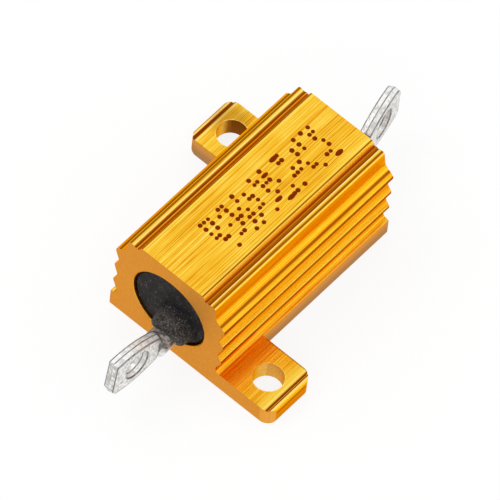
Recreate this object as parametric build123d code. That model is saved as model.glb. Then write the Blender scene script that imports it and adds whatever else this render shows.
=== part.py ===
from build123d import *
import os
from math import cos, isclose, radians, sin

# Power resistor in a finned aluminium housing, in millimetres.
# X runs along the wire axis from the front terminal (-X) to the rear one (+X).
# Z is up and the mounting face lies on Z = 0, with the origin midway between the ends.
# The section is drawn as (y, z) and extruded along X, as the real bar is.

# Housing, overall
housing_length = 19.05
housing_height = 10.2
fin_width = 10.74           # across the fin tips
flange_width = 20.84        # across both mounting tabs
flange_thickness = 1.77
stub_width = 11.0           # what is left of the flange where it was milled off
tab_length = 4.86
tab_corner_radius = 0.95

# Mounting holes, one in each tab on a diagonal, a little outward of the tab's middle
hole_offset_x = 0.04
hole_offset_y = 0.16
hole_diameter = 2.46

# Bore for the wound element
bore_diameter = 7.0
bore_drop = 0.04            # from the middle of the housing's height down to the bore's axis
bore_chamfer = 0.08

# Top edge of the section: flat top, two fine grooves beside a ridge, rounded bead
top_flat_width = 6.1
top_edge_radius = 0.2
groove_slope = 0.26
groove_depth = 0.5
groove_pitch = 0.34
ridge_height = 0.12
bead_width = 8.56
bead_radius = 0.26
shoulder_width = 8.96
shoulder_drop = 1.7
scoop_radius = 0.45
fine_radius = 0.05

# Cooling fins on each side, counted from the top
fin_count = 3
fin_depth = 0.44
fin_band_drop = 2.14        # from the top of the housing to the step above the first fin
first_tip_drop = 0.52       # from that step to the tip of the first fin
last_tip_rise = 1.12        # from the foot of the fins to the tip of the last one
fin_tip_flat = 0.14
fin_tip_radius = 0.24
fin_valley_share = 0.65     # how far down from one tip to the next the valley lies
fin_valley_radius = 0.48
fin_valley_room = 0.25      # the most that radius may be, as a share of the pitch of the tips
foot_rise = 0.59            # from the flange to the foot of the fins
root_radius = 0.42

# Outer edge of the flange: fine groove, rounded bead, softened lower edge
edge_groove_inset = 0.44
edge_groove_width = 0.3
edge_groove_depth = 0.22
edge_bead_radius = 0.24
flange_lower_radius = 0.14
stub_edge_radius = 0.14

# Wound element, set low and to one side of the bore and a little askew in it
element_shift_y = -0.75
element_drop = 0.99         # below the bore's axis
element_yaw = 0.9
element_pitch = -0.25
core_diameter = 3.0
core_setback = 2.275        # from the end face of the housing to the end of the rod
cap_wall = 0.33
cap_length = 2.2
wire_width = 0.5
wire_thickness = 0.2
wire_pitch = 1.35
element_clearance = 0.02

# Cement that fills the bore and climbs the leads
cement_gap = 0.03
cement_recess = 0.2
cement_rim_chamfer = 0.2
boss_rise = 0.18            # of the hump's axis above the lead's
boss_base_diameter = 3.75
boss_tip_diameter = 2.1     # where its cone would end
boss_tip_reach = 2.8        # from the end face, as the next one
boss_reach = 1.35           # where its slanted front crosses the lead's axis
boss_lean = 20.0            # degrees by which that front leans back under the lead
boss_lip_chamfer = 0.16

# Terminals: a round pin, squeezed outside the cement into a flat lug with an eye
pin_diameter = 2.05
pin_reach = 2.3             # from the end face, where the squeezed stretch starts
lug_start = 2.5
lug_overlap = 0.12          # how far the blade runs back into the squeezed stretch
lug_rise = 0.09             # of the blade's middle above the pin's axis
lug_reach = 7.35
lug_thickness = 0.95
lug_root_width = 2.5
lug_eye_width = 3.88
lug_tip_width = 3.5
lug_ridge_angle = 14.0      # degrees, slope of the roof shaped edge all round the blade
eye_reach = 4.9
eye_length = 2.24
eye_height = 2.52
eye_chamfer = 0.07

# How each lug was bent at its root, in degrees sideways and upward, and the corners of its tip
front_lug = {"yaw": 1.7, "pitch": 7.1, "lower_radius": 0.7, "upper_radius": 0.15}
rear_lug = {"yaw": 12.8, "pitch": 0.0, "lower_radius": 0.6, "upper_radius": 0.85}

half_length = housing_length / 2
tab_middle_x = half_length - tab_length / 2
hole_x = tab_middle_x + hole_offset_x
hole_y = (flange_width + stub_width) / 4 + hole_offset_y
bore_radius = bore_diameter / 2
bore_height = housing_height / 2 - bore_drop
cement_radius = bore_radius - cement_gap
core_radius = core_diameter / 2
cap_inner_radius = core_radius + element_clearance
cap_outer_radius = cap_inner_radius + cap_wall
core_end = half_length - core_setback
cap_end = core_end + cap_wall
cap_rim = cap_end - cap_length
winding_radius = core_radius + element_clearance + wire_thickness / 2
element_height = bore_height - element_drop
element_place = Pos(0, element_shift_y, element_height) * Rot(0, element_pitch, element_yaw)


def section_corners():
    """Corners (y, z, radius) of the +Y half of the section, from the top to the base."""
    top_half = top_flat_width / 2
    groove_1 = top_half + groove_slope
    groove_2 = groove_1 + groove_pitch
    groove_z = housing_height - groove_depth
    bead_half = bead_width / 2
    shoulder_half = shoulder_width / 2
    band_top_z = housing_height - fin_band_drop
    foot_z = flange_thickness + foot_rise
    first_tip_z = band_top_z - first_tip_drop
    fin_pitch = (first_tip_z - foot_z - last_tip_rise) / (fin_count - 1)
    valley_radius = min(fin_valley_radius, fin_pitch * fin_valley_room)
    tip_half = fin_width / 2
    valley_half = tip_half - fin_depth
    corners = [
        (top_half, housing_height, top_edge_radius),
        (groove_1, groove_z, fine_radius),
        ((groove_1 + groove_2) / 2, groove_z + ridge_height, fine_radius),
        (groove_2, groove_z, fine_radius),
        (groove_2 + fine_radius * 3, groove_z + ridge_height, fine_radius),
        (bead_half, groove_z + ridge_height, bead_radius),
        (shoulder_half, housing_height - shoulder_drop, scoop_radius),
        (valley_half, band_top_z, fine_radius),
        (tip_half - fin_tip_radius, band_top_z - fin_tip_flat, fin_tip_radius / 2),
    ]
    for index in range(fin_count):
        tip_z = first_tip_z - index * fin_pitch
        corners.append((tip_half, tip_z + fin_tip_flat, fin_tip_radius))
        corners.append((tip_half, tip_z - fin_tip_flat, fin_tip_radius))
        if index < fin_count - 1:
            valley_z = tip_z - fin_pitch * fin_valley_share
            corners.append((valley_half, valley_z, valley_radius))
    corners += [
        (valley_half, foot_z, valley_radius),
        (valley_half, flange_thickness, root_radius),
    ]
    edge_half = flange_width / 2
    groove_mid = edge_half - edge_groove_inset
    corners += [
        (groove_mid - edge_groove_width / 2, flange_thickness, fine_radius),
        (groove_mid, flange_thickness - edge_groove_depth, fine_radius),
        (groove_mid + edge_groove_width / 2, flange_thickness - fine_radius, fine_radius),
        (edge_half, flange_thickness - fine_radius, edge_bead_radius),
        (edge_half, 0, flange_lower_radius),
    ]
    return corners


def housing_section():
    """Whole section of the extruded bar, mirrored about its centre plane."""
    right = section_corners()
    left = [(-y, z, radius) for y, z, radius in reversed(right)]
    outline = right + left
    points = [(y, z) for y, z, radius in outline]
    radii = [radius for y, z, radius in outline]
    return make_face(FilletPolyline(*points, radius=radii, close=True))


def housing_plan():
    """Plan of the bar after milling: the body strip and the two diagonal tabs."""
    strip = Rectangle(housing_length, stub_width)
    tab = Pos(tab_middle_x, flange_width / 4) * Rectangle(tab_length, flange_width / 2)
    outer = tab.vertices().group_by(Axis.Y)[-1]
    tab = fillet(outer, tab_corner_radius)
    return strip + tab + Rot(0, 0, 180) * tab


def housing():
    """Length of bar cut and milled to its plan, then bored through and drilled."""
    stock = extrude(Plane.YZ * housing_section(), housing_length, both=True)
    bar = stock & extrude(housing_plan(), housing_height * 2, both=True)
    stub_edges = [
        edge
        for edge in bar.edges().filter_by(Axis.X)
        if isclose(abs(edge.center().Y), stub_width / 2, rel_tol=1e-6)
    ]
    bar = fillet(stub_edges, stub_edge_radius)
    bore = Rot(0, 90, 0) * Cylinder(bore_radius, housing_length)
    bar = bar - Pos(0, 0, bore_height) * bore
    rims = [
        edge
        for edge in bar.edges().filter_by(GeomType.CIRCLE)
        if isclose(edge.radius, bore_radius, rel_tol=1e-6)
    ]
    bar = chamfer(rims, bore_chamfer)
    for side in (-1, 1):
        place = Pos(side * hole_x, side * hole_y, flange_thickness / 2)
        bar = bar - place * Cylinder(hole_diameter / 2, flange_thickness * 2)
    return bar


def along_element(start, end, radius, end_radius=None):
    """Cylinder or cone on the axis of the wound element between two places on that axis."""
    if end_radius is None:
        body = Cylinder(radius, abs(end - start))
    else:
        body = Cone(radius, end_radius, abs(end - start))
    turn = 90 if end > start else -90
    return element_place * Pos((start + end) / 2, 0, 0) * Rot(0, turn, 0) * body


def ceramic_core():
    """Plain ceramic rod that carries the winding."""
    return along_element(-core_end, core_end, core_radius)


def end_cap(side):
    """Cup of thin steel pressed over one end of the rod."""
    cup = along_element(side * cap_rim, side * cap_end, cap_outer_radius)
    return cup - along_element(side * (cap_rim - cap_wall), side * core_end, cap_inner_radius)


def resistance_winding():
    """Flat resistance wire, wound in one layer between the rims of the two caps."""
    length = 2 * (cap_rim - element_clearance) - wire_width
    helix = Helix(pitch=wire_pitch, height=length, radius=winding_radius)
    start = Plane(origin=helix @ 0, x_dir=(1, 0, 0), z_dir=helix % 0)
    profile = start * Rectangle(wire_thickness, wire_width)
    coil = sweep(profile, path=helix, is_frenet=True)
    return element_place * Pos(-length / 2, 0, 0) * Rot(0, 90, 0) * coil


def lug_frame(side, lug):
    """Frame at the root of a lug: X out along the lug, Z up across its width."""
    yaw, pitch = radians(lug["yaw"]), radians(lug["pitch"])
    heading = Vector(side * cos(yaw) * cos(pitch), sin(yaw) * cos(pitch), sin(pitch))
    across = Vector(0, 0, 1).cross(heading)
    root = element_place * Pos(side * (half_length + lug_start), 0, lug_rise)
    return Plane(origin=root.position, x_dir=heading, z_dir=heading.cross(across))


def lug_blade(side, lug):
    """Flattened end of a terminal with its eye, swollen where the eye was punched."""
    tip = (lug_reach - lug_start) / (cos(radians(lug["yaw"])) * cos(radians(lug["pitch"])))
    eye = eye_reach - lug_start
    root, swell, end = lug_root_width / 2, lug_eye_width / 2, lug_tip_width / 2
    outline = [
        ThreePointArc((-lug_overlap, root), (eye, swell), (tip, end)),
        Line((tip, end), (tip, -end)),
        ThreePointArc((tip, -end), (eye, -swell), (-lug_overlap, -root)),
        Line((-lug_overlap, -root), (-lug_overlap, root)),
    ]
    sheet = make_face(outline)
    for pick, radius in (0, lug["lower_radius"]), (-1, lug["upper_radius"]):
        tip_corners = sheet.vertices().group_by(Axis.X)[-1].sort_by(Axis.Y)
        sheet = fillet(tip_corners[pick], radius)
    blade = extrude(Plane.XZ * sheet, lug_thickness / 2, both=True, taper=lug_ridge_angle)
    slot = Pos(eye, 0) * SlotOverall(eye_height, eye_length, rotation=90)
    blade = blade - extrude(Plane.XZ * slot, lug_thickness, both=True)
    sides = blade.faces().filter_by(Axis.Y)
    eye_rims = [edge for face in sides for wire in face.inner_wires() for edge in wire.edges()]
    blade = chamfer(eye_rims, eye_chamfer)
    return lug_frame(side, lug).location * blade


def lug_stem(side):
    """Squeezed stretch between pin and lug: a widening cone between two closing flats."""
    start, end = half_length + pin_reach, half_length + lug_start
    cone = along_element(side * start, side * end, pin_diameter / 2, lug_root_width / 2)
    widths = [(start, pin_diameter / 2), (end, lug_thickness / 2)]
    corners = [(side * x, y) for x, y in widths] + [(side * x, -y) for x, y in reversed(widths)]
    flats = make_face(Polyline(*corners, close=True))
    return cone & element_place * extrude(flats, lug_root_width, both=True)


def terminal(side, lug):
    """One tinned terminal, from the weld on its cap to the tip of its lug."""
    pin = along_element(side * cap_end, side * (half_length + pin_reach), pin_diameter / 2)
    return pin + lug_stem(side) + lug_blade(side, lug)


def cement_boss(side):
    """Hump of cement that climbs a lead, further out above it than below it."""
    foot, tip = half_length - 2 * cement_recess, half_length + boss_tip_reach
    boss = along_element(side * foot, side * tip, boss_base_diameter / 2, boss_tip_diameter / 2)
    block = 2 * boss_base_diameter
    front = Pos(side * (half_length + boss_reach), 0, 0) * Rot(0, side * boss_lean, 0)
    boss = boss - element_place * front * Pos(side * block / 2, 0, 0) * Box(block, block, block)
    lip = boss.edges().sort_by(lambda edge: side * edge.center().X)[-1]
    return Pos(0, 0, boss_rise) * chamfer(lip, boss_lip_chamfer)


def cement_filling():
    """Cement cast in the bore around the wound element, climbing both leads a little."""
    length = housing_length - 2 * cement_recess
    body = Pos(0, 0, bore_height) * Rot(0, 90, 0) * Cylinder(cement_radius, length)
    body = chamfer(body.edges().filter_by(GeomType.CIRCLE), cement_rim_chamfer)
    body = body + cement_boss(-1) + cement_boss(1)
    reach = cap_end + element_clearance
    body = body - along_element(-reach, reach, cap_outer_radius + element_clearance)
    reach = half_length + pin_reach
    return body - along_element(-reach, reach, pin_diameter / 2 + element_clearance)


nodes = {
    "housing": housing(),
    "cement_filling": cement_filling(),
    "ceramic_core": ceramic_core(),
    "resistance_winding": resistance_winding(),
    "front_end_cap": end_cap(-1),
    "rear_end_cap": end_cap(1),
    "front_terminal": terminal(-1, front_lug),
    "rear_terminal": terminal(1, rear_lug),
}

os.makedirs("parts", exist_ok=True)
for name, solid in nodes.items():
    export_step(solid, os.path.join("parts", name + ".step"))
    print(name, round(solid.volume, 3))
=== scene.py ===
import math
import random

import bpy
from mathutils import Matrix, Vector


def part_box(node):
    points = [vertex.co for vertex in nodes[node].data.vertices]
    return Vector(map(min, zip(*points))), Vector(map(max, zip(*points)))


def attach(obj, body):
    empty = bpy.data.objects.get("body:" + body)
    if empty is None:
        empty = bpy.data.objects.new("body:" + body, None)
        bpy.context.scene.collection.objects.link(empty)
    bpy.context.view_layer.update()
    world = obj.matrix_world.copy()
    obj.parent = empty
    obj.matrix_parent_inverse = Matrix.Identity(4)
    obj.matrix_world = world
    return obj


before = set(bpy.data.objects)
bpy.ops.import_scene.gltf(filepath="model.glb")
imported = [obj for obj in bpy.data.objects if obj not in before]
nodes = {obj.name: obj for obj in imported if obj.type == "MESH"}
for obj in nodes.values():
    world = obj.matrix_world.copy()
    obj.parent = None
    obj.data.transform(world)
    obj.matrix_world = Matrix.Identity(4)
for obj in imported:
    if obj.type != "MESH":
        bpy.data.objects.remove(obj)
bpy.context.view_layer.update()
mm = 0.001
print("frame loaded, nodes:", len(nodes))


# ---- helpers: shader maths

class Sock:  # one output socket, used in plain Python expressions
    def __init__(self, tree, out):
        self.tree = tree
        self.out = out

    def mathNode(self, operation, other=0.0, flip=False):
        first, second = (other, self) if flip else (self, other)
        return self.tree.node("ShaderNodeMath", {"operation": operation}, {0: first, 1: second})

    def __add__(self, other):
        return self.mathNode("ADD", other)

    def __radd__(self, other):
        return self.mathNode("ADD", other, True)

    def __sub__(self, other):
        return self.mathNode("SUBTRACT", other)

    def __rsub__(self, other):
        return self.mathNode("SUBTRACT", other, True)

    def __mul__(self, other):
        return self.mathNode("MULTIPLY", other)

    def __rmul__(self, other):
        return self.mathNode("MULTIPLY", other, True)

    def __pow__(self, other):
        return self.mathNode("POWER", other)

    def abs(self):
        return self.mathNode("ABSOLUTE")

    def sign(self):
        return self.mathNode("SIGN")

    def max(self, other):
        return self.mathNode("MAXIMUM", other)

    def step(self, low, high):  # 0 below low, 1 above high, smooth between; low may be the larger
        if low > high:
            return 1 - self.step(high, low)
        settings = {"interpolation_type": "SMOOTHSTEP", "clamp": True}
        return self.tree.node("ShaderNodeMapRange", settings, {"Value": self, "From Min": low, "From Max": high})

    def band(self, middle, half, soft):  # 1 within half of middle
        return (self - middle).abs().step(half + soft, half)


def hypot(first, second):  # length of the two together
    return (first ** 2 + second ** 2) ** 0.5


class Tree:  # any node tree; every node is added by node()
    def __init__(self, nodeTree):
        self.nodeTree = nodeTree

    def node(self, kind, settings, values, output=0):
        made = self.nodeTree.nodes.new(kind)
        for key, value in settings.items():
            if key == "stops":
                self.setStops(made.color_ramp, value)
            else:
                setattr(made, key, value)
        for key, value in values.items():
            self.feed(made.inputs[key], value)
        return made if output is None else Sock(self, made.outputs[output])

    def feed(self, target, value):  # a link or a plain value
        if isinstance(value, Sock):
            self.nodeTree.links.new(value.out, target)
        else:
            target.default_value = value

    def setStops(self, ramp, stops):
        while len(ramp.elements) < len(stops):
            ramp.elements.new(0.5)
        for element, (position, color) in zip(ramp.elements, stops):
            element.position = position
            element.color = (*color, 1.0)

    def split(self, vector):
        made = self.node("ShaderNodeSeparateXYZ", {}, {0: vector}, None)
        return [Sock(self, out) for out in made.outputs]


class Mat(Tree):  # a Principled material with its place in mm and its facing at hand
    def __init__(self, name, **fixed):
        self.material = bpy.data.materials.new(name)
        self.material.use_nodes = True
        super().__init__(self.material.node_tree)
        self.shader = self.nodeTree.nodes["Principled BSDF"]
        self.set(**fixed)
        coords = self.node("ShaderNodeTexCoord", {}, {}, "Object")
        self.place = self.node("ShaderNodeVectorMath", {"operation": "SCALE"}, {0: coords, "Scale": 1 / mm})
        self.x, self.y, self.z = self.split(self.place)
        self.nx, self.ny, self.nz = self.split(self.node("ShaderNodeNewGeometry", {}, {}, "Normal"))

    def scaled(self, x, y, z):  # the place, stretched
        return self.node("ShaderNodeVectorMath", {"operation": "MULTIPLY"}, {0: self.place, 1: (x, y, z)})

    def noise(self, scale, detail, rough):
        values = {"Vector": self.scaled(*scale), "Scale": 1.0, "Detail": detail, "Roughness": rough}
        return self.node("ShaderNodeTexNoise", {}, values, "Fac")

    def cells(self, scale):  # distance from the middle of the nearest cell
        vector = self.scaled(scale, scale, scale)
        return self.node("ShaderNodeTexVoronoi", {}, {"Vector": vector, "Scale": 1.0}, "Distance")

    def along(self, root, direction):  # mm from root in one direction
        away = self.node("ShaderNodeVectorMath", {"operation": "SUBTRACT"}, {0: self.place, 1: root})
        return self.node("ShaderNodeVectorMath", {"operation": "DOT_PRODUCT"}, {0: away, 1: direction}, "Value")

    def ramp(self, share, stops):
        return self.node("ShaderNodeValToRGB", {"stops": stops}, {"Fac": share}, "Color")

    def mix(self, share, first, second):  # inputs 6 and 7 and output 2 are the Mix node's colours
        first, second = [(*c, 1.0) if isinstance(c, tuple) else c for c in (first, second)]
        return self.node("ShaderNodeMix", {"data_type": "RGBA"}, {0: share, 6: first, 7: second}, 2)

    def bump(self, height, distance, strength):
        values = {"Height": height, "Distance": distance, "Strength": strength}
        return self.node("ShaderNodeBump", {}, values, "Normal")

    def set(self, **sockets):
        for name, value in sockets.items():
            if isinstance(value, tuple):
                value = (*value, 1.0)
            self.feed(self.shader.inputs[name.replace("_", " ")], value)
        return self.material


def dress(name, material):
    mesh = nodes[name].data
    mesh.materials.clear()
    mesh.materials.append(material)


# ---- housing: gold anodised aluminium

gold = {
    # ramps from dark to light streak, by how the surface was worked; the slope and wall ramps are darker and more
    # orange, as painted shade and reflection on slopes, walls and undersides
    "brushed": [
        (0.37, (0.54, 0.17, 0.004)), (0.44, (0.88, 0.40, 0.012)), (0.50, (0.97, 0.54, 0.03)),
        (0.56, (1.0, 0.68, 0.07)), (0.63, (1.0, 0.84, 0.20)),
    ],
    "drawn": [(0.34, (0.62, 0.17, 0.003)), (0.47, (0.95, 0.37, 0.008)), (0.60, (1.0, 0.56, 0.03))],
    "wall": [(0.34, (0.58, 0.14, 0.001)), (0.50, (0.92, 0.34, 0.004)), (0.66, (1.0, 0.54, 0.02))],
    "grazing": (1.0, 0.5, 0.06),
    # patterns: scale along X, Y and Z to the mm, detail, roughness
    "streaks": ((0.05, 4.6, 4.6), 5.0, 0.8), "hair": ((0.16, 13.0, 13.0), 3.0, 0.7), "hairShare": 0.45,
    "grain": ((7.0, 7.0, 7.0), 4.0, 0.65), "clouds": ((0.35, 0.35, 0.35), 2.0, 0.5), "cloudShare": 0.12,
    # lines of the section: distance from the middle plane, height and half width in mm; the grooves carry painted
    # shade, the crests and gleams painted highlights
    "grooves": [
        (3.33, 9.70, 0.09), (3.60, 9.76, 0.13), (3.0, 10.19, 0.06), (4.1, 9.82, 0.09), (4.96, 8.04, 0.12),
        (5.37, 7.56, 0.17), (5.37, 5.49, 0.18), (5.37, 3.46, 0.18), (4.93, 2.3, 0.15),
        (9.9, 1.74, 0.10), (9.98, 1.57, 0.12), (10.42, 1.2, 0.12),
    ],
    "crests": [
        (2.84, 10.2, 0.07), (3.14, 10.02, 0.13), (4.27, 9.74, 0.08), (4.96, 8.2, 0.06),
        (5.36, 7.78, 0.06), (5.36, 5.72, 0.06), (5.36, 3.69, 0.06), (5.0, 4.3, 0.09), (5.0, 6.3, 0.09),
    ],
    "gleams": [(3.82, 9.82, 0.06), (10.2, 1.77, 0.10), (9.68, 1.77, 0.06)],
    "groove": (0.30, 0.06, 0.0), "crest": (1.0, 0.76, 0.10), "gleam": (1.0, 0.83, 0.26),
    "grooveShare": 0.88, "crestShare": 0.7, "gleamShare": 0.85, "wallZ": (1.4, 2.0),
    # tabs: painted reflection of the body's wall on the inner part of the near tab, a stain on the rear one, a
    # painted highlight on the outer part of the near tab, a dark line along each tab's milled inner end, and
    # painted shade on the outer walls, deeper towards the bottom
    "tabTop": (2.3, 1.9), "tabInnerX": 4.665, "tabEdgeY": 10.42,
    "wallReflection": (0.74, 0.20, 0.003), "reflectionStart": (-7.3, -6.4), "reflectionStop": (-5.2, -5.6), "reflectionShare": 0.5,
    "stainX": 7.9, "stainY": 8.9, "stainReach": (2.2, 0.7), "stainShare": 0.45,
    "outerHighlightY": (-8.8, -9.5), "outerHighlightShare": 0.5, "brinkY": (5.6, 5.9), "brinkShare": 0.55,
    "edgeWall": (0.62, 0.25, 0.02), "edgeZ": (1.5, 0.9), "footZ": (0.5, 0.2), "edgeShare": 0.6,
    # sawn ends, milled stubs and bored holes
    "endX": 9.525, "end": (0.83, 0.40, 0.082), "endDark": (0.74, 0.34, 0.068), "cornerHighlight": (0.98, 0.52, 0.10),
    "cornerY": (9.3, 9.5), "cornerHighlightShare": 0.6, "stubY": 5.5, "flangeTop": 1.77,
    "sawn": (0.50, 0.29, 0.15), "sawnLight": (0.74, 0.38, 0.12),
    "holeX": 7.135, "holeY": 8.12, "holeRadius": 1.23, "holeDarkShare": 0.9, "rimHighlightShare": 0.8,
    "hole": (0.76, 0.41, 0.08), "holeLight": (0.93, 0.59, 0.17), "holeDark": (0.22, 0.055, 0.008),
    "polish": 0.20, "matt": 0.6, "bumpDepth": 0.00003,
}
lean = {  # from none to all, by how far one part of a face's normal goes
    "slope": (0.25, 0.5), "wall": (0.84, 0.97), "under": (0.0, -0.25), "corner": (0.12, 0.3),
    "square": (0.6, 0.8), "up": (0.6, 0.9), "upright": (0.6, 0.4),
}


def nearLines(m, lines):  # 1 on any of these lines of the section, soft at their sides
    share = 0.0
    for aside, height, half in lines:
        away = hypot(m.y.abs() - aside, m.z - height)
        share = away.step(half * 1.5, half * 0.6).max(share)
    return share


def barColor(m, lengths, clouds):  # top, slopes and walls of the extruded bar, with painted shade on slopes, walls and undersides and painted shade and highlight lines along it
    slope = m.ny.abs().step(*lean["slope"])
    wall = m.ny.abs().step(*lean["wall"]).max(m.nz.step(*lean["under"])) * m.z.step(*gold["wallZ"])
    color = m.ramp(lengths + (clouds - 0.5) * gold["cloudShare"], gold["brushed"])
    # painted shade and reflection: slopes, walls and undersides take the darker, more orange ramps
    color = m.mix(slope, color, m.ramp(lengths, gold["drawn"]))
    color = m.mix(wall, color, m.ramp(lengths, gold["wall"]))
    # painted shade on the groove lines, then painted highlights on the crests and gleams
    color = m.mix(nearLines(m, gold["grooves"]) * gold["grooveShare"], color, gold["groove"])
    color = m.mix(nearLines(m, gold["crests"]) * gold["crestShare"], color, gold["crest"])
    return m.mix(nearLines(m, gold["gleams"]) * gold["gleamShare"], color, gold["gleam"])


def tabColor(m, color, clouds):
    x, y, z = m.x, m.y, m.z
    low = z.step(*gold["tabTop"])
    # painted reflection of the body's wall on the inner part of the near tab
    wallReflection = y.step(*gold["reflectionStart"]) * y.step(*gold["reflectionStop"]) * low
    color = m.mix(wallReflection * gold["reflectionShare"], color, gold["wallReflection"])
    stained = hypot(x - gold["stainX"], y - gold["stainY"]).step(*gold["stainReach"]) * low * clouds.step(0.1, 0.5)
    color = m.mix(stained * gold["stainShare"], color, gold["groove"])
    # painted highlight: the upward-facing outer part of the near tab goes lighter
    wearAndHighlight = y.step(*gold["outerHighlightY"]) * low * m.nz.step(*lean["up"])
    color = m.mix(wearAndHighlight * gold["outerHighlightShare"], color, gold["crest"])
    # painted shade: the outer wall of each tab turns darker orange towards the bottom, and its foot takes the sawn
    # colour
    edgeWall = y.abs().step(gold["tabEdgeY"] - 0.3, gold["tabEdgeY"] - 0.05) * z.step(*gold["edgeZ"])
    edgeWall = edgeWall * gold["edgeShare"]
    color = m.mix(edgeWall, color, gold["edgeWall"])
    color = m.mix(edgeWall * z.step(*gold["footZ"]), color, gold["sawn"])
    brink = x.abs().band(gold["tabInnerX"] + 0.04, 0.04, 0.04) * y.abs().step(*gold["brinkY"]) * low
    return m.mix(brink * gold["brinkShare"], color, gold["groove"])


def cutColor(m, color, grain):  # what was cut after the bar was drawn, and how matt it is
    x, y, z = m.x, m.y, m.z
    upright = m.nz.abs().step(*lean["upright"])
    atEnd = m.nx.abs().step(*lean["square"])
    bodyEnd = atEnd * x.abs().step(gold["endX"] - 0.4, gold["endX"] - 0.2)
    stub = m.ny.abs().step(*lean["square"]) * y.abs().band(gold["stubY"], 0.12, 0.05)
    sawn = (stub * z.step(gold["flangeTop"], gold["flangeTop"] - 0.1)).max(atEnd - bodyEnd)
    corner = m.nx.abs().step(*lean["corner"]) * upright * y.abs().step(*gold["cornerY"])  # the tabs' rounded corners, given the end colour and lightened as a painted highlight
    bodyEnd = bodyEnd.max(corner)
    endColor = m.mix(grain.step(0.35, 0.7), gold["end"], gold["endDark"])
    color = m.mix(bodyEnd, color, m.mix(corner * gold["cornerHighlightShare"], endColor, gold["cornerHighlight"]))
    color = m.mix(sawn, color, m.mix(z.step(0.5, 1.6), gold["sawn"], gold["sawnLight"]))
    return color, bodyEnd.max(sawn)


def holeColor(m, color, grain):  # bored walls, with painted shade on one side of the rear hole and a painted highlight round the mouth
    acrossX = m.x - m.x.sign() * gold["holeX"]
    acrossY = m.y - m.y.sign() * gold["holeY"]
    away = hypot(acrossX, acrossY)
    bored = away.step(gold["holeRadius"] + 0.06, gold["holeRadius"] + 0.02) * m.nz.abs().step(*lean["upright"])
    shadedSide = (acrossX * 0.58 - acrossY * 0.81).step(-0.9, -0.3) * m.y.step(-1.0, 1.0)  # painted shade on one side of the rear hole's wall alone
    wall = m.mix(grain.step(0.3, 0.7), gold["hole"], gold["holeLight"])
    wall = m.mix(shadedSide * gold["holeDarkShare"], wall, gold["holeDark"])
    color = m.mix(bored, color, wall)
    rimHighlight = away.band(gold["holeRadius"] + 0.035, 0.025, 0.02) * grain.step(0.4, 0.6) * m.nz.step(*lean["up"])
    return m.mix(rimHighlight * gold["rimHighlightShare"], color, gold["gleam"])


def goldMaterial():
    m = Mat("anodisedGold", Metallic=1.0, Specular_Tint=gold["grazing"])
    streaks, hair, grain, clouds = [m.noise(*gold[key]) for key in ("streaks", "hair", "grain", "clouds")]
    lengths = streaks * (1 - gold["hairShare"]) + hair * gold["hairShare"]
    color = barColor(m, lengths, clouds)
    color = tabColor(m, color, clouds)
    color, matt = cutColor(m, color, grain)
    color = holeColor(m, color, grain)
    rough = (gold["polish"] + lengths * 0.16) * (1 - matt) + matt * gold["matt"]
    ridges = lengths * (1 - matt) + grain * matt * 0.35
    return m.set(Base_Color=color, Roughness=rough, Normal=m.bump(ridges, gold["bumpDepth"], 0.6))


dress("housing", goldMaterial())
print("housing dressed")


# ---- cement

cement = {
    "base": (0.012, 0.0105, 0.0105), "wearAndHighlight": (0.055, 0.05, 0.046), "speck": (0.42, 0.40, 0.40),
    "film": (0.11, 0.10, 0.085), "bossX": (9.4, 10.8), "mouthX": (8.9, 10.2), "bumpDepth": 0.00012,
    "grit": ((6.0, 6.0, 6.0), 5.0, 0.7), "clouds": ((0.9, 0.9, 0.9), 4.0, 0.65),
    "patches": ((2.4, 2.4, 2.4), 2.0, 0.5), "fineCells": 9.0, "mouthCells": 11.0, "coarseCells": 3.6,
}


def cementMaterial():
    m = Mat("blackCement", Metallic=0.0, Specular_IOR_Level=0.12)
    grit, clouds, patches = [m.noise(*cement[key]) for key in ("grit", "clouds", "patches")]
    boss = m.x.abs().step(*cement["bossX"])
    mouth = m.x.abs().step(*cement["mouthX"])
    fine = m.cells(cement["fineCells"]).step(0.26, 0.12) * patches.step(0.49, 0.58)
    fine = fine.max(m.cells(cement["mouthCells"]).step(0.28, 0.14) * mouth * grit.step(0.42, 0.52))
    coarse = m.cells(cement["coarseCells"]).step(0.16, 0.07) * clouds.step(0.46, 0.56)
    specks = (fine * (0.5 + mouth * 0.4)).max(coarse * 0.9)
    # random paler patches of wear on the cement
    color = m.mix(clouds.step(0.42, 0.75) * 0.7, cement["base"], cement["wearAndHighlight"])
    color = m.mix(boss * grit.step(0.35, 0.65) * 0.75, color, cement["film"])
    color = m.mix(specks, color, cement["speck"])
    lumps = m.bump(grit + coarse * 0.5, cement["bumpDepth"], 0.8)
    return m.set(Base_Color=color, Roughness=0.5 + grit * 0.3, Normal=lumps)


dress("cement_filling", cementMaterial())
print("cement dressed")


# ---- tinned terminals

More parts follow.
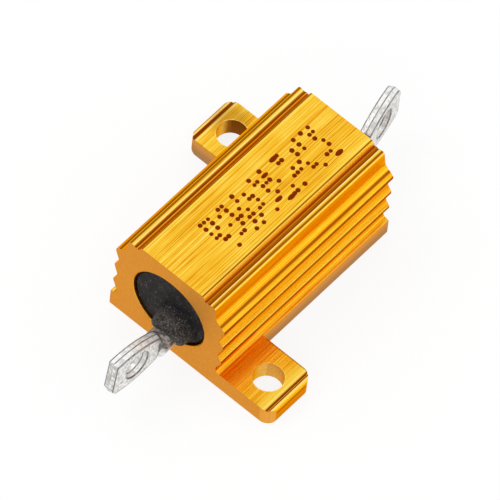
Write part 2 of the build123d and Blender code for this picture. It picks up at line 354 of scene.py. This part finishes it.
tin = {
    "bright": (0.95, 0.95, 0.94), "grey": (0.66, 0.66, 0.64), "stain": (0.36, 0.34, 0.29),
    "edge": (0.045, 0.04, 0.032), "film": (0.07, 0.06, 0.048), "bumpDepth": 0.00022,
    "dents": ((1.3, 1.3, 1.3), 3.0, 0.55), "mottle": ((3.0, 3.0, 3.0), 4.0, 0.65),
    "scratches": ((7.0, 2.2, 2.2), 4.0, 0.65), "stainShare": 0.65, "filmShare": 0.95, "creaseShare": 0.75,
    # the blade in mm: half its thickness, its eye, its outline as a curve of height, its tip
    "halfThick": 0.475, "lineHalf": 0.04, "tipOut": 4.72,
    "eyeOut": 2.4, "eyeFlat": 0.14, "eyeRadius": 1.17, "outline": (1.14, 0.4426, -0.0716),
    # root of each blade in mm, directions along it, across it and up, share of its painted dark reflections
    "lugs": {
        "front_terminal": (
            (-12.02, -0.94, 4.11),
            (-0.9919, 0.0294, 0.1236), (-0.0297, -0.9996, 0.0), (0.1236, -0.0037, 0.9924), 1.0,
        ),
        "rear_terminal": (
            (12.02, -0.56, 4.21),
            (0.9751, 0.2215, 0.0), (-0.2215, 0.9751, 0.0), (0.0, 0.0, 1.0), 0.9,
        ),
    },
}


def paintedEdgeReflections(m, out, aside, up, face, tip, mottle):  # painted reflections: dark lines along the ridge, rim, eye and outline, with painted shade in the crease at the root
    half, line = tin["halfThick"], tin["lineHalf"]
    start, slope, curve = tin["outline"]
    ridge = aside.abs().step(line * 1.8, line * 0.4) * (1 - tip * 0.6)
    rim = aside.abs().band(half - 0.05, line, 0.02) * (1 - face)
    eye = hypot(out - tin["eyeOut"], (up.abs() - tin["eyeFlat"]).max(0.0)).band(tin["eyeRadius"], 0.05, 0.04) * face
    border = (up.abs() - (out * slope + out * out * curve + start)).abs().step(0.10, 0.03) * face
    crease = out.band(0.0, 0.06, 0.05)
    blade = out.step(-0.02, 0.05) * (0.6 + mottle.step(0.6, 0.4) * 0.4)
    return (ridge.max(rim).max(eye * 0.8).max(border * 0.8) * blade).max(crease * tin["creaseShare"])


def tinMaterial(name):
    root, heading, across, upward, lined = tin["lugs"][name]
    m = Mat("tinned_" + name, Metallic=0.3)
    out, aside, up = [m.along(root, direction) for direction in (heading, across, upward)]
    dents, mottle, scratches = [m.noise(*tin[key]) for key in ("dents", "mottle", "scratches")]
    face = aside.abs().step(tin["halfThick"] - 0.03, tin["halfThick"] - 0.01) * out.step(-0.02, 0.05)
    tip = out.step(tin["tipOut"] - 0.05, tin["tipOut"] + 0.03)
    soiled = (face * scratches.step(0.50, 0.60)).max(tip * mottle.step(0.38, 0.52) * 0.9)
    color = m.mix(mottle.step(0.42, 0.62), tin["bright"], tin["grey"])
    color = m.mix(soiled * tin["stainShare"], color, tin["stain"])
    # painted reflections along the blade's edges and painted shade at its root
    color = m.mix(paintedEdgeReflections(m, out, aside, up, face, tip, mottle) * lined, color, tin["edge"])
    film = out.step(0.3, -0.15) * up.step(-0.4, 0.3) * (0.7 + mottle.step(0.4, 0.6) * 0.3)  # cement on the root
    color = m.mix(film * tin["filmShare"], color, tin["film"])
    lumps = m.bump(dents + mottle * 0.4, tin["bumpDepth"], 0.5)
    return m.set(Base_Color=color, Roughness=0.22 + mottle * 0.2, Normal=lumps)


for name in tin["lugs"]:
    dress(name, tinMaterial(name))
print("terminals dressed")


# ---- pieces inside the bore

inner = {
    "ceramic": ((0.86, 0.84, 0.78), (0.74, 0.71, 0.64)),
    "alloy": ((0.45, 0.41, 0.37), (0.25, 0.22, 0.2)),
    "steel": ((0.7, 0.7, 0.7), (0.5, 0.5, 0.49)),
    "clouds": ((2.0, 2.0, 2.0), 4.0, 0.6), "scores": ((6.0, 1.4, 1.4), 4.0, 0.6), "bumpDepth": 0.00002,
}


def ceramicMaterial():
    m = Mat("steatite", Roughness=0.45)
    clouds = m.noise(*inner["clouds"])
    return m.set(Base_Color=m.mix(clouds, *inner["ceramic"]), Normal=m.bump(clouds, inner["bumpDepth"], 0.4))


def drawnMaterial(title, colors):
    m = Mat(title, Metallic=1.0)
    scores = m.noise(*inner["scores"])
    lumps = m.bump(scores, inner["bumpDepth"], 0.5)
    return m.set(Base_Color=m.mix(scores, *colors), Roughness=0.28 + scores * 0.2, Normal=lumps)


dress("ceramic_core", ceramicMaterial())
dress("resistance_winding", drawnMaterial("resistanceAlloy", inner["alloy"]))
platedSteel = drawnMaterial("platedSteel", inner["steel"])
for name in ("front_end_cap", "rear_end_cap"):
    dress(name, platedSteel)
print("inner pieces dressed")


# ---- rating mark: a block of printed dots that spell nothing

dots = {
    "radius": 0.19, "height": 0.012, "corners": 12, "columns": 4, "rows": 7, "cells": 8,
    "cellPitch": 1.55, "columnPitch": 0.385, "rowPitch": 0.53, "startX": -5.0, "startY": -1.95,
    "share": 0.41, "runs": 0.12, "runLength": (1.7, 2.2), "stray": 0.03, "sizes": (0.85, 1.1), "seed": 23,
    "ink": ((0.155, 0.012, 0.0008), (0.27, 0.03, 0.001)), "blots": ((4.0, 4.0, 4.0), 4.0, 0.6),
}


def dotPlan(source):  # place, radius and stretch of each dot
    plan = []
    for cell in range(dots["cells"]):
        for column in range(dots["columns"]):
            for row in range(dots["rows"]):
                if source.random() > dots["share"]:
                    continue
                x = dots["startX"] + cell * dots["cellPitch"] + column * dots["columnPitch"]
                y = dots["startY"] + row * dots["rowPitch"]
                x += source.uniform(-dots["stray"], dots["stray"])
                y += source.uniform(-dots["stray"], dots["stray"])
                stretch = source.uniform(*dots["runLength"]) if source.random() < dots["runs"] else 1.0
                plan.append((x, y, dots["radius"] * source.uniform(*dots["sizes"]), stretch))
    return plan


def ratingDots():
    source = random.Random(dots["seed"])
    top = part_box("housing")[1].z
    made = []
    bpy.ops.object.select_all(action="DESELECT")
    for x, y, radius, stretch in dotPlan(source):
        place = (x * mm, y * mm, top)
        bpy.ops.mesh.primitive_circle_add(
            vertices=dots["corners"], radius=radius * mm, fill_type="NGON", location=place)
        bpy.ops.object.mode_set(mode="EDIT")
        bpy.ops.transform.resize(value=(stretch, 1, 1))
        height = dots["height"] * (1 + 0.5 * source.random())  # no two level where they overlap
        bpy.ops.mesh.extrude_region_move(TRANSFORM_OT_translate={"value": (0, 0, height * mm)})
        bpy.ops.object.mode_set(mode="OBJECT")
        made.append(bpy.context.object)
    bpy.ops.object.select_all(action="DESELECT")
    for piece in made:
        piece.select_set(True)
    bpy.context.view_layer.objects.active = made[0]
    bpy.ops.object.join()
    joined = bpy.context.object
    bpy.ops.object.transform_apply(location=True, rotation=True, scale=True)
    joined.name = "rating_dots"
    return joined


def inkMaterial():
    m = Mat("markingInk", Roughness=0.6, Specular_IOR_Level=0.0)
    return m.set(Base_Color=m.mix(m.noise(*dots["blots"]), *dots["ink"]))


ratingMark = ratingDots()
ratingMark.data.materials.append(inkMaterial())
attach(ratingMark, "root")
print("rating mark made")


# ---- camera, light and floor

view = {
    "azimuth": -54.46, "elevation": 57.56, "roll": -7.01, "distance": 800.0,  # degrees and mm
    "scale": 13.337, "centre": (248.6, 267.2), "imageSize": 500,  # pixels to the mm, pixels
    "sensor": 36.0, "clipStart": 0.01,
}
paper = {
    "size": 0.6, "drop": 0.00002, "colors": ((0.97, 0.97, 0.97), (0.95, 0.95, 0.95)), "glow": 0.85,
    "grain": ((2.0, 2.0, 2.0), 2.0, 0.5),
}
studio = {
    "lamps": [
        # name, place in mm, size in mm, watts
        ("keySoftbox", (-60, 160, 260), 120, 0.12),
        ("fillSoftbox", (-240, -120, 180), 120, 0.08),
        ("sideSoftbox", (115, -225, 70), 90, 0.03),
    ],
    "skyHigh": 0.98, "skyLow": 0.30, "highAngle": 0.45, "lowAngle": 0.08,
}
white = (1.0, 1.0, 1.0, 1.0)


def addCamera():
    azimuth, elevation, roll = [math.radians(view[key]) for key in ("azimuth", "elevation", "roll")]
    level = math.cos(elevation)
    right = Vector((math.cos(azimuth), math.sin(azimuth), 0))
    back = Vector((math.sin(azimuth) * level, -math.cos(azimuth) * level, math.sin(elevation)))
    up = back.cross(right)
    rolledRight = right * math.cos(roll) - up * math.sin(roll)
    rolledUp = right * math.sin(roll) + up * math.cos(roll)
    half = view["imageSize"] / 2
    aside, above = [(centre - half) / view["scale"] for centre in view["centre"]]
    spot = back * view["distance"] - rolledRight * aside + rolledUp * above
    bpy.ops.object.camera_add(location=spot * mm)
    camera = bpy.context.object
    camera.rotation_euler = Matrix((rolledRight, rolledUp, back)).transposed().to_euler()
    camera.data.sensor_width = view["sensor"]
    camera.data.lens = view["scale"] * view["distance"] * view["sensor"] / view["imageSize"]
    camera.data.clip_start = view["clipStart"]
    bpy.context.scene.camera = camera


def addFloor():  # paper that takes the shadow, with a white glow that only the eye and gloss see
    bpy.ops.object.select_all(action="DESELECT")
    bpy.ops.mesh.primitive_plane_add(size=paper["size"], location=(0, 0, -paper["drop"]))
    floor = bpy.context.object
    floor.name = "paleFloor"
    m = Mat("palePaper", Roughness=0.9)
    m.set(Base_Color=m.mix(m.noise(*paper["grain"]), *paper["colors"]))
    rays = m.node("ShaderNodeLightPath", {}, {}, None).outputs
    camera, glossy, through = [Sock(m, rays["Is %s Ray" % kind]) for kind in ("Camera", "Glossy", "Transmission")]
    seen = camera.max(glossy).max(through) * paper["glow"]
    glow = m.node("ShaderNodeEmission", {}, {"Color": white, "Strength": 1.0}, "Emission")
    matt = Sock(m, m.shader.outputs["BSDF"])
    blend = m.node("ShaderNodeMixShader", {}, {0: seen, 1: matt, 2: glow}, "Shader")
    m.feed(m.nodeTree.nodes["Material Output"].inputs["Surface"], blend)
    floor.data.materials.append(m.material)


def addLamps():
    for name, place, size, watts in studio["lamps"]:
        bpy.ops.object.light_add(type="AREA", location=Vector(place) * mm)
        lamp = bpy.context.object
        lamp.name = name
        lamp.data.size = size * mm
        lamp.data.energy = watts
        lamp.rotation_euler = Vector(place).to_track_quat("Z", "Y").to_euler()


def addWorld():  # pale above, darker near the horizon, white where the camera sees it
    world = bpy.data.worlds.new("studioSky")
    bpy.context.scene.world = world
    world.use_nodes = True
    world.node_tree.nodes.clear()
    sky = Tree(world.node_tree)
    height = sky.split(sky.node("ShaderNodeTexCoord", {}, {}, "Generated"))[2]
    lift = sky.node("ShaderNodeMapRange", {"interpolation_type": "SMOOTHSTEP", "clamp": True}, {
        "Value": height, "From Min": studio["lowAngle"], "From Max": studio["highAngle"],
        "To Min": studio["skyLow"], "To Max": studio["skyHigh"],
    })
    level = lift.max(sky.node("ShaderNodeLightPath", {}, {}, "Is Camera Ray"))
    light = sky.node("ShaderNodeBackground", {}, {"Color": white, "Strength": level})
    sky.node("ShaderNodeOutputWorld", {}, {0: light}, None)


addCamera()
addFloor()
addLamps()
addWorld()
bpy.context.scene.view_settings.view_transform = "Standard"
print("camera, floor and lights set")
